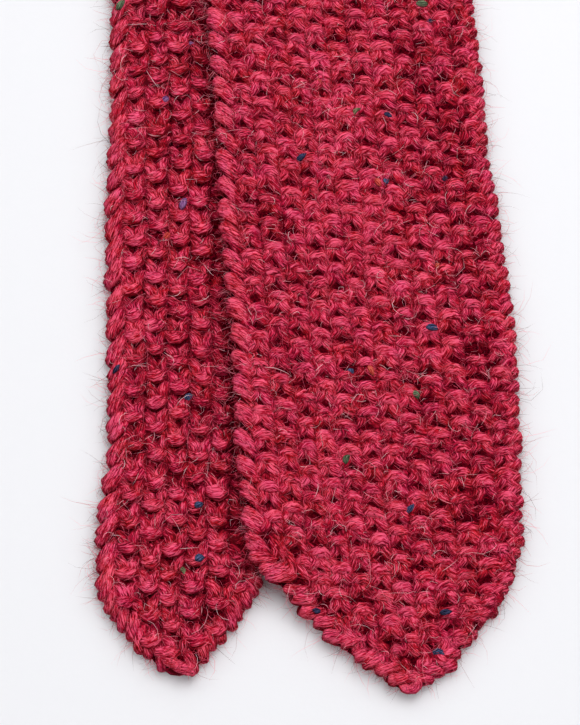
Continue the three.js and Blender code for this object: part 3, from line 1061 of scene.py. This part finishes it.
def clinging(hairs, skin, count, facing, places, width):
    """Fibres that run with the yarn and lift off it. facing: 1 the cloth's front, -1 its back."""
    reach = places - 1
    i = rng.randint(0, len(skin.run) - reach, count * 4)
    raised = skin.height[i + reach // 2] * facing > LEAST_HEIGHT
    i = i[(skin.run[i] == skin.run[i + reach]) & raised][:count]
    backwards = rng.uniform(size=len(i)) < 0.5
    angle = facing * math.pi / 2 + rng.normal(0, SPREAD_AROUND, len(i))
    drift = rng.normal(0, TURN_EACH_STEP, len(i))
    lift = np.abs(rng.normal(0, MEAN_LIFT, len(i)))
    points = []
    for m in range(places):
        k = np.where(backwards, i + reach - m, i + m)
        off = -ROOT_DEPTH + ROOT_RISE * min(m, 1) + lift * (m / reach) ** LIFT_POWER * LIFT_SHARE
        p = skin.at(k, angle + drift * m, off)
        points.append(p + rng.normal(0, STRAY_AT_ROOT + STRAY_AT_TIP * m / reach, p.shape))
    hairs.add(np.stack(points, 1), width * rng.uniform(*WIDTH_SPREAD, len(i)), rng.choice(DYED, len(i)))


def over_surface(hairs, count, reach, facing, length, tones, places, bend, top):
    """Hairs that lie across the stitches in any direction."""
    s = rng.uniform(reach[0], reach[1], count * 2)
    w = rng.uniform(-1, 1, count * 2) * BLADE_WIDTH / 2
    keep = (w > -half_width(s, -1) + EDGE_CLEAR) & (w < half_width(s, 1) - EDGE_CLEAR)
    s, w = s[keep][:count], w[keep][:count]
    n = len(s)
    heading = rng.uniform(0, 2 * math.pi, n)
    long = length * rng.lognormal(0, LONG_SPREAD, n)
    curve = rng.normal(0, bend, n)
    height = top + rng.uniform(-HEIGHT_SPREAD, HEIGHT_SPREAD, n)
    points = []
    for t in np.linspace(0, 1, places):
        turn = heading + curve * t
        z = height - ARCH * (2 * t - 1) ** 2 + rng.normal(0, LOOSE_STRAY, n)
        points.append(laid(s + long * t * np.cos(turn), w + long * t * np.sin(turn), facing * z))
    hairs.add(np.stack(points, 1), LOOSE_WIDTH * rng.uniform(*WIDTH_SPREAD, n), rng.choice(tones, n))


def halo(hairs, side, ends, per_mm, length, width, tones, places):
    """Thin hairs that stand out from the edge."""
    total = outline(side)[2][-1]
    low, high = (x if x >= 0 else total + x for x in ends)
    n = int((high - low) * per_mm)
    place, along, inwards = edge_frame(side, rng.uniform(low, high, n))
    heading = rng.normal(0, HALO_HEADING, n)
    long = np.minimum(length * rng.lognormal(0, HALO_LONG_SPREAD, n), HALO_LONGEST * length)
    curve = rng.normal(0, HALO_CURVE, n)
    root = rng.uniform(*HALO_ROOT, n)
    z0, z1 = rng.uniform(HALO_LOW, HALO_HIGH, n), rng.normal(HALO_TIP_HEIGHT, HALO_TIP_SPREAD, n)
    points = []
    for t in np.linspace(0, 1, places):
        turn = heading + curve * t
        out = long * t * np.cos(turn) - root
        aside = long * t * np.sin(turn)
        p = place - out[:, None] * inwards + aside[:, None] * along
        z = z0 + (z1 - z0) * t + rng.normal(0, HALO_STRAY, n) * t
        points.append(laid(p[:, 0], p[:, 1], z))
    hairs.add(np.stack(points, 1), width * rng.uniform(*WIDTH_SPREAD, n), rng.choice(tones, n))


DYED = (0.0, 0.1, 0.3, 0.42, 0.55, 0.66)
BRIGHT = (0.5, 0.62, 0.9)
PALE = (0.7, 0.84, 0.95)
EDGE_TONES = (0.02, 0.1, 0.3, 0.6, 0.8)
FRINGE_TONES = (0.3, 0.45, 0.6, 0.7)
LOOSE_WIDTH = 0.1
HALO_LENGTH, FRINGE_LENGTH = 3.2, 1.2
SHOWN_EDGE = 215.0


def fuzz_end(end, facing, reach, edge, long_count, short_count, unseen_count, dyed_count, pale_count):
    """The fuzz of one end of the tie, with its loose hairs. facing: the side of the cloth that shows."""
    fuzz, loose = Hairs("fuzz_" + end), Hairs("loose_hairs_" + end)
    skin = Skin(groups["yarn_" + end])
    clinging(fuzz, skin, long_count, facing, places=3, width=0.13)
    clinging(fuzz, skin, short_count, facing, places=2, width=0.1)
    clinging(fuzz, skin, unseen_count, -facing, places=2, width=0.1)
    over_surface(loose, dyed_count, reach, facing, 2.2, DYED + BRIGHT, places=3, bend=0.7, top=2.35)
    over_surface(loose, pale_count, reach, facing, 2.8, PALE, places=5, bend=1.6, top=3.15)
    for side in (-1, 1):
        halo(loose, side, edge, 3.4, HALO_LENGTH, 0.07, EDGE_TONES, places=4)
        halo(loose, side, edge, 3, FRINGE_LENGTH, 0.07, FRINGE_TONES, places=3)
    return fuzz, loose


def fuzz_between():
    """The sparser fuzz between the two ends."""
    fuzz = Hairs("fuzz_rest")
    for name in ("yarn_blade", "yarn_neck", "yarn_tail"):
        skin = Skin(groups[name])
        for facing in (-1, 1):
            clinging(fuzz, skin, 1200, facing, places=2, width=0.11)
    for side in (-1, 1):
        halo(fuzz, side, (SHOWN_EDGE, -SHOWN_EDGE), 0.8, HALO_LENGTH, 0.06, EDGE_TONES, places=3)
    return fuzz


fuzz_blade, loose_blade = fuzz_end("blade_end", 1, (2, FINE_REACH), (0, SHOWN_EDGE), long_count=7000,
                                   short_count=18000, unseen_count=1200, dyed_count=5400, pale_count=380)
fuzz_tail, loose_tail = fuzz_end("tail_end", -1, (TOTAL - FINE_REACH, TOTAL - 2), (-SHOWN_EDGE, -1),
                                 long_count=4000, short_count=10800, unseen_count=600, dyed_count=3000,
                                 pale_count=210)
fuzz_rest = fuzz_between()
for fuzz in (fuzz_blade, loose_blade, fuzz_tail, loose_tail, fuzz_rest):
    pieces.append(fuzz.build(hair))

for piece in pieces + [core]:
    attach(piece, "root")
    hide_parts(NODE)

# Floor, camera and light
PICTURE_CENTRE = np.array((24.6, 75.0))
TILT = math.radians(21)
DISTANCE = 745.0
MM_PER_PIXEL = 0.228
PICTURE_HEIGHT = 725
SENSOR = 36.0
FLOOR_SIZE = 6.0
WINDOW_SIZE = (0.7, 1.1)
WINDOW_BESIDE, WINDOW_BEHIND, WINDOW_HEIGHT = 0.17, 0.32, 1.3
WINDOW_ENERGY = 19.8
SKY = (0.96, 0.97, 1.0, 1)
SKY_STRENGTH = 0.28

bpy.ops.mesh.primitive_plane_add(size=FLOOR_SIZE, location=(0, 0, 0))
floor = bpy.context.object
floor.name = "floor"
floor.data.materials.append(floor_material())


def add_camera(target):
    """It looks at the target, in millimetres, from in front and above."""
    camera = bpy.data.objects.new("camera", bpy.data.cameras.new("camera"))
    bpy.context.scene.collection.objects.link(camera)
    camera.location = (target + DISTANCE * np.array((0, -math.sin(TILT), math.cos(TILT)))) / 1000
    camera.rotation_euler = (TILT, 0, 0)
    camera.data.sensor_width = SENSOR
    camera.data.lens = DISTANCE / MM_PER_PIXEL / PICTURE_HEIGHT * SENSOR
    camera.data.clip_start = 0.01
    bpy.context.scene.camera = camera


def add_window(target):
    """A soft window light behind the tie and a little to its right, aimed at the target."""
    light = bpy.data.lights.new("window", "AREA")
    light.shape = "RECTANGLE"
    light.size, light.size_y = WINDOW_SIZE
    light.energy = WINDOW_ENERGY
    window = bpy.data.objects.new("window", light)
    bpy.context.scene.collection.objects.link(window)
    window.location = (target[0] / 1000 + WINDOW_BESIDE, target[1] / 1000 + WINDOW_BEHIND, WINDOW_HEIGHT)
    aim = target / 1000 - np.array(window.location)
    level = math.hypot(aim[0], aim[1])
    window.rotation_euler = (math.atan2(level, -aim[2]), 0, math.atan2(-aim[0], aim[1]))


def add_sky():
    world = bpy.data.worlds.new("studio")
    bpy.context.scene.world = world
    world.use_nodes = True
    background = world.node_tree.nodes["Background"]
    background.inputs["Color"].default_value = SKY
    background.inputs["Strength"].default_value = SKY_STRENGTH


looked_at = (LOWER_MIDDLE[0] + PICTURE_CENTRE[0], TAIL_END_Y + PICTURE_CENTRE[1], THICKNESS / 2)
add_camera(SHIFT + looked_at)
add_window(SHIFT + looked_at)
add_sky()
bpy.context.scene.view_settings.view_transform = "Standard"
